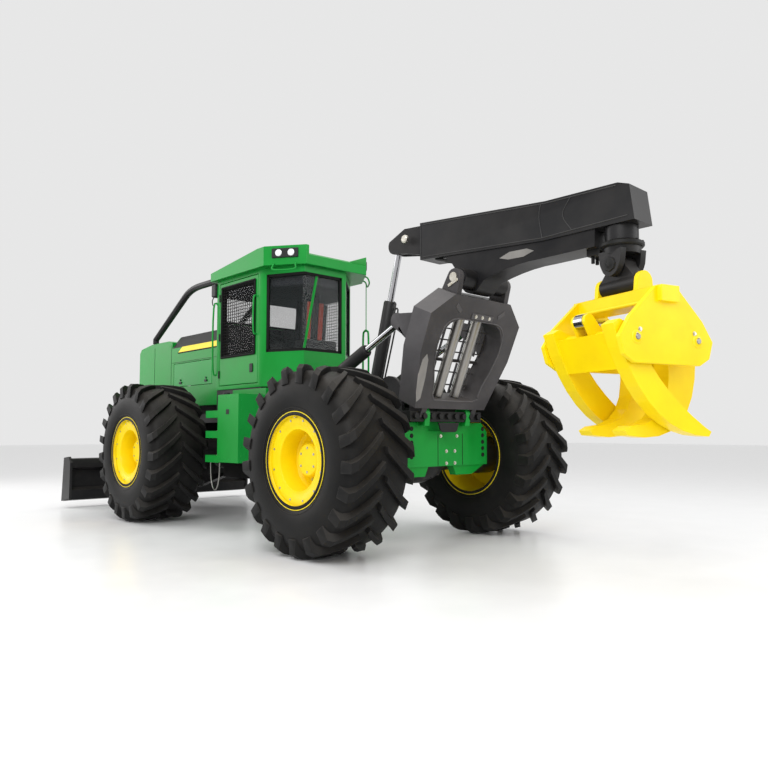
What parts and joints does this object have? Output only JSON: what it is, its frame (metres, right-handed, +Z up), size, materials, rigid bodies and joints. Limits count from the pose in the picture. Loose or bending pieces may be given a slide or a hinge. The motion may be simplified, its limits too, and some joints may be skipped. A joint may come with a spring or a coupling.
{
  "type": "grapple skidder",
  "caption": "Articulated four-wheel forestry skidder with front blade, cab, winch, arch, boom and log grapple.",
  "frame": {"origin": "on the ground, at the centre of the machine's outline from above", "axes": "+Z up, the machine faces -Y and its left side is +X"},
  "size_m": [3.29, 9.3641, 3.46],
  "materials": {
    "green_paint": "gloss",
    "yellow_paint": "gloss",
    "black_paint": "satin",
    "tyre": "matt",
    "chrome": "polished",
    "steel": "worn",
    "seat_cloth": "matt",
    "cast_iron": "rough"
  },
  "bodies": {
    "front_body": {"front_frame": "black_paint", "engine_block": "cast_iron", "hood": "green_paint", "cab_shell": "green_paint", "cab_roof": "green_paint", "seat": "seat_cloth", "console": "black_paint", "limb_riser_left": "black_paint", "limb_riser_right": "black_paint", "step_box_left": "green_paint", "step_box_right": "green_paint", "step_cable_left": "steel", "step_cable_right": "steel"},
    "front_axle_body": {"front_axle": "black_paint"},
    "rear_body": {"rear_frame": "green_paint", "rear_axle": "black_paint", "winch_frame": "black_paint"},
    "blade_body": {"blade": "black_paint"},
    "arch_body": {"arch": "black_paint"},
    "boom_body": {"boom": "black_paint", "rotator": "black_paint"},
    "yoke_body": {"rotator_yoke": "black_paint"},
    "crosshead_body": {"crosshead": "black_paint"},
    "head_body": {"grapple_head": "yellow_paint"},
    "tong_left_body": {"tong_left": "yellow_paint"},
    "tong_right_body": {"tong_right": "yellow_paint"},
    "drum_body": {"winch_drum": "steel"},
    "grille_body": {"grille_door": "black_paint"},
    "wheel_front_left_body": {"rim_front_left": "yellow_paint", "tyre_front_left": "tyre"},
    "wheel_front_right_body": {"rim_front_right": "yellow_paint", "tyre_front_right": "tyre"},
    "wheel_rear_left_body": {"rim_rear_left": "yellow_paint", "tyre_rear_left": "tyre"},
    "wheel_rear_right_body": {"rim_rear_right": "yellow_paint", "tyre_rear_right": "tyre"},
    "roller_left_body": {"fairlead_roller_left": "steel"},
    "roller_right_body": {"fairlead_roller_right": "steel"},
    "engine_door_left_body": {"engine_door_left": "green_paint"},
    "door_left_body": {"door_left": "green_paint"},
    "engine_door_right_body": {"engine_door_right": "green_paint"},
    "door_right_body": {"door_right": "green_paint"},
    "steering_cylinder_left_barrel_body": {"steering_cylinder_barrel_left": "black_paint"},
    "steering_cylinder_left_rod_body": {"steering_cylinder_rod_left": "chrome"},
    "steering_cylinder_right_barrel_body": {"steering_cylinder_barrel_right": "black_paint"},
    "steering_cylinder_right_rod_body": {"steering_cylinder_rod_right": "chrome"},
    "blade_cylinder_left_barrel_body": {"blade_cylinder_barrel_left": "black_paint"},
    "blade_cylinder_left_rod_body": {"blade_cylinder_rod_left": "chrome"},
    "blade_cylinder_right_barrel_body": {"blade_cylinder_barrel_right": "black_paint"},
    "blade_cylinder_right_rod_body": {"blade_cylinder_rod_right": "chrome"},
    "arch_cylinder_left_barrel_body": {"arch_cylinder_barrel_left": "black_paint"},
    "arch_cylinder_left_rod_body": {"arch_cylinder_rod_left": "chrome"},
    "arch_cylinder_right_barrel_body": {"arch_cylinder_barrel_right": "black_paint"},
    "arch_cylinder_right_rod_body": {"arch_cylinder_rod_right": "chrome"},
    "boom_cylinder_barrel_body": {"boom_cylinder_barrel": "black_paint"},
    "boom_cylinder_rod_body": {"boom_cylinder_rod": "chrome"},
    "grapple_cylinder_barrel_body": {"grapple_cylinder_barrel": "black_paint"},
    "grapple_cylinder_rod_body": {"grapple_cylinder_rod": "chrome"}
  },
  "joints": [
    {"name": "front_axle_swing", "type": "hinge", "parent": "front_body", "child": "front_axle_body", "pos_m": [0, -2.2225, 0.92], "axis": [0, 1, 0], "range_deg": [-10, 10]},
    {"name": "steering", "type": "hinge", "parent": "front_body", "child": "rear_body", "pos_m": [0, -0.3125, 0.96], "axis": [0, 0, 1], "range_deg": [-40, 40]},
    {"name": "wheel_front_left", "type": "hinge", "parent": "front_axle_body", "child": "wheel_front_left_body", "pos_m": [1.255, -2.2225, 0.92], "axis": [1, 0, 0], "continuous": true},
    {"name": "wheel_front_right", "type": "hinge", "parent": "front_axle_body", "child": "wheel_front_right_body", "pos_m": [-1.255, -2.2225, 0.92], "axis": [1, 0, 0], "continuous": true},
    {"name": "wheel_rear_left", "type": "hinge", "parent": "rear_body", "child": "wheel_rear_left_body", "pos_m": [1.255, 1.5975, 0.92], "axis": [1, 0, 0], "continuous": true},
    {"name": "wheel_rear_right", "type": "hinge", "parent": "rear_body", "child": "wheel_rear_right_body", "pos_m": [-1.255, 1.5975, 0.92], "axis": [1, 0, 0], "continuous": true},
    {"name": "blade_lift", "type": "hinge", "parent": "front_body", "child": "blade_body", "pos_m": [0, -2.7525, 0.72], "axis": [-1, 0, 0], "range_deg": [-2.5, 24]},
    {"name": "arch_tilt", "type": "hinge", "parent": "rear_body", "child": "arch_body", "pos_m": [0, 2.0175, 1.37], "axis": [-1, 0, 0], "range_deg": [-18, 14]},
    {"name": "boom_lift", "type": "hinge", "parent": "arch_body", "child": "boom_body", "pos_m": [0, 2.5375, 2.7], "axis": [1, 0, 0], "range_deg": [-20, 22]},
    {"name": "rotator_turn", "type": "hinge", "parent": "boom_body", "child": "yoke_body", "pos_m": [0, 4.0975, 2.8], "axis": [0, 0, 1], "continuous": true},
    {"name": "grapple_pitch", "type": "hinge", "parent": "yoke_body", "child": "crosshead_body", "pos_m": [0, 4.0975, 2.6], "axis": [0.9613, -0.2756, 0], "range_deg": [-20, 20]},
    {"name": "grapple_roll", "type": "hinge", "parent": "crosshead_body", "child": "head_body", "pos_m": [0, 4.0975, 2.43], "axis": [0.2756, 0.9613, 0], "range_deg": [-20, 20]},
    {"name": "tong_left_open", "type": "hinge", "parent": "head_body", "child": "tong_left_body", "pos_m": [0.32202, 4.00516, 1.92], "axis": [-0.2756, -0.9613, 0], "range_deg": [-4, 42]},
    {"name": "tong_right_open", "type": "hinge", "parent": "head_body", "child": "tong_right_body", "pos_m": [-0.32202, 4.18984, 1.92], "axis": [0.2756, 0.9613, 0], "range_deg": [-4, 42]},
    {"name": "winch_drum_turn", "type": "hinge", "parent": "rear_body", "child": "drum_body", "pos_m": [0, 1.4375, 1.6003], "axis": [1, 0, 0], "continuous": true},
    {"name": "fairlead_roller_left", "type": "hinge", "parent": "arch_body", "child": "roller_left_body", "pos_m": [0.135, 2.21313, 1.93862], "axis": [0, 0.3875, 0.9219], "continuous": true},
    {"name": "fairlead_roller_right", "type": "hinge", "parent": "arch_body", "child": "roller_right_body", "pos_m": [-0.135, 2.21313, 1.93862], "axis": [0, 0.3875, 0.9219], "continuous": true},
    {"name": "grille_door", "type": "hinge", "parent": "front_body", "child": "grille_body", "pos_m": [0.52, -4.1025, 2], "axis": [0, 0, 1], "range_deg": [0, 100]},
    {"name": "engine_door_left", "type": "hinge", "parent": "front_body", "child": "engine_door_left_body", "pos_m": [0.62, -2.3225, 2.2], "axis": [0, -1, 0], "range_deg": [0, 90]},
    {"name": "door_left", "type": "hinge", "parent": "front_body", "child": "door_left_body", "pos_m": [0.72, -1.3725, 2.4], "axis": [0, 0, -1], "range_deg": [0, 85]},
    {"name": "engine_door_right", "type": "hinge", "parent": "front_body", "child": "engine_door_right_body", "pos_m": [-0.62, -2.3225, 2.2], "axis": [0, 1, 0], "range_deg": [0, 90]},
    {"name": "door_right", "type": "hinge", "parent": "front_body", "child": "door_right_body", "pos_m": [-0.72, -1.3725, 2.4], "axis": [0, 0, 1], "range_deg": [0, 85]},
    {"name": "steering_cylinder_left_swing", "type": "hinge", "parent": "front_body", "child": "steering_cylinder_left_barrel_body", "pos_m": [0.475, -1.3125, 0.95], "axis": [0, 0, 1], "range_deg": [-10.1, 10.1]},
    {"name": "steering_cylinder_left_slide", "type": "slide", "parent": "steering_cylinder_left_barrel_body", "child": "steering_cylinder_left_rod_body", "axis": [-0.0326, 0.9995, 0], "range_m": [-0.3026, 0.3026]},
    {"name": "steering_cylinder_right_swing", "type": "hinge", "parent": "front_body", "child": "steering_cylinder_right_barrel_body", "pos_m": [-0.475, -1.3125, 0.95], "axis": [0, 0, 1], "range_deg": [-10.1, 10.1]},
    {"name": "steering_cylinder_right_slide", "type": "slide", "parent": "steering_cylinder_right_barrel_body", "child": "steering_cylinder_right_rod_body", "axis": [0.0326, 0.9995, 0], "range_m": [-0.3026, 0.3026]},
    {"name": "blade_cylinder_left_swing", "type": "hinge", "parent": "front_body", "child": "blade_cylinder_left_barrel_body", "pos_m": [0.415, -3.2725, 1.39], "axis": [1, 0, 0], "range_deg": [-4.24, 0.45]},
    {"name": "blade_cylinder_left_slide", "type": "slide", "parent": "blade_cylinder_left_barrel_body", "child": "blade_cylinder_left_rod_body", "axis": [0, -0.1379, -0.9904], "range_m": [-0.2628, 0.0278]},
    {"name": "blade_cylinder_right_swing", "type": "hinge", "parent": "front_body", "child": "blade_cylinder_right_barrel_body", "pos_m": [-0.415, -3.2725, 1.39], "axis": [1, 0, 0], "range_deg": [-4.24, 0.45]},
    {"name": "blade_cylinder_right_slide", "type": "slide", "parent": "blade_cylinder_right_barrel_body", "child": "blade_cylinder_right_rod_body", "axis": [0, -0.1379, -0.9904], "range_m": [-0.2628, 0.0278]},
    {"name": "arch_cylinder_left_swing", "type": "hinge", "parent": "rear_body", "child": "arch_cylinder_left_barrel_body", "pos_m": [0.52, 0.4475, 1.62], "axis": [1, 0, 0], "range_deg": [-2.46, 3.17]},
    {"name": "arch_cylinder_left_slide", "type": "slide", "parent": "arch_cylinder_left_barrel_body", "child": "arch_cylinder_left_rod_body", "axis": [0, 0.904, 0.4276], "range_m": [-0.2851, 0.2219]},
    {"name": "arch_cylinder_right_swing", "type": "hinge", "parent": "rear_body", "child": "arch_cylinder_right_barrel_body", "pos_m": [-0.52, 0.4475, 1.62], "axis": [1, 0, 0], "range_deg": [-2.46, 3.17]},
    {"name": "arch_cylinder_right_slide", "type": "slide", "parent": "arch_cylinder_right_barrel_body", "child": "arch_cylinder_right_rod_body", "axis": [0, 0.904, 0.4276], "range_m": [-0.2851, 0.2219]},
    {"name": "boom_cylinder_swing", "type": "hinge", "parent": "rear_body", "child": "boom_cylinder_barrel_body", "pos_m": [0, 0.8775, 1.42], "axis": [1, 0, 0], "range_deg": [-12.65, 16.26]},
    {"name": "boom_cylinder_slide", "type": "slide", "parent": "boom_cylinder_barrel_body", "child": "boom_cylinder_rod_body", "axis": [0, 0.2583, 0.9661], "range_m": [-0.4869, 0.4427]},
    {"name": "grapple_cylinder_swing", "type": "hinge", "parent": "tong_right_body", "child": "grapple_cylinder_barrel_body", "pos_m": [-0.43737, 4.22292, 2.09], "axis": [-0.2756, -0.9613, 0], "range_deg": [-4.01, 42.01]},
    {"name": "grapple_cylinder_slide", "type": "slide", "parent": "grapple_cylinder_barrel_body", "child": "grapple_cylinder_rod_body", "axis": [0.9613, -0.2756, 0], "range_m": [-0.2837, 0.0275]}
  ],
  "couplings": [
    {"joint": "tong_right_open", "follows": "tong_left_open", "ratio": 1},
    {"joint": "steering_cylinder_left_swing", "follows": "steering", "ratio": 0.25225},
    {"joint": "steering_cylinder_left_slide", "follows": "steering", "m_per_rad": 0.43266},
    {"joint": "steering_cylinder_right_swing", "follows": "steering", "ratio": 0.25225},
    {"joint": "steering_cylinder_right_slide", "follows": "steering", "m_per_rad": -0.43266},
    {"joint": "blade_cylinder_left_swing", "follows": "blade_lift", "ratio": -0.1762},
    {"joint": "blade_cylinder_left_slide", "follows": "blade_lift", "m_per_rad": -0.62614},
    {"joint": "blade_cylinder_right_swing", "follows": "blade_lift", "ratio": -0.1762},
    {"joint": "blade_cylinder_right_slide", "follows": "blade_lift", "m_per_rad": -0.62614},
    {"joint": "arch_cylinder_left_swing", "follows": "arch_tilt", "ratio": -0.17526},
    {"joint": "arch_cylinder_left_slide", "follows": "arch_tilt", "m_per_rad": 0.90605},
    {"joint": "arch_cylinder_right_swing", "follows": "arch_tilt", "ratio": -0.17526},
    {"joint": "arch_cylinder_right_slide", "follows": "arch_tilt", "m_per_rad": 0.90605},
    {"joint": "boom_cylinder_swing", "follows": "arch_tilt", "ratio": -0.90276},
    {"joint": "boom_cylinder_slide", "follows": "boom_lift", "m_per_rad": -1.2668},
    {"joint": "grapple_cylinder_swing", "follows": "tong_left_open", "ratio": 1},
    {"joint": "grapple_cylinder_slide", "follows": "tong_left_open", "m_per_rad": -0.38634}
  ]
}
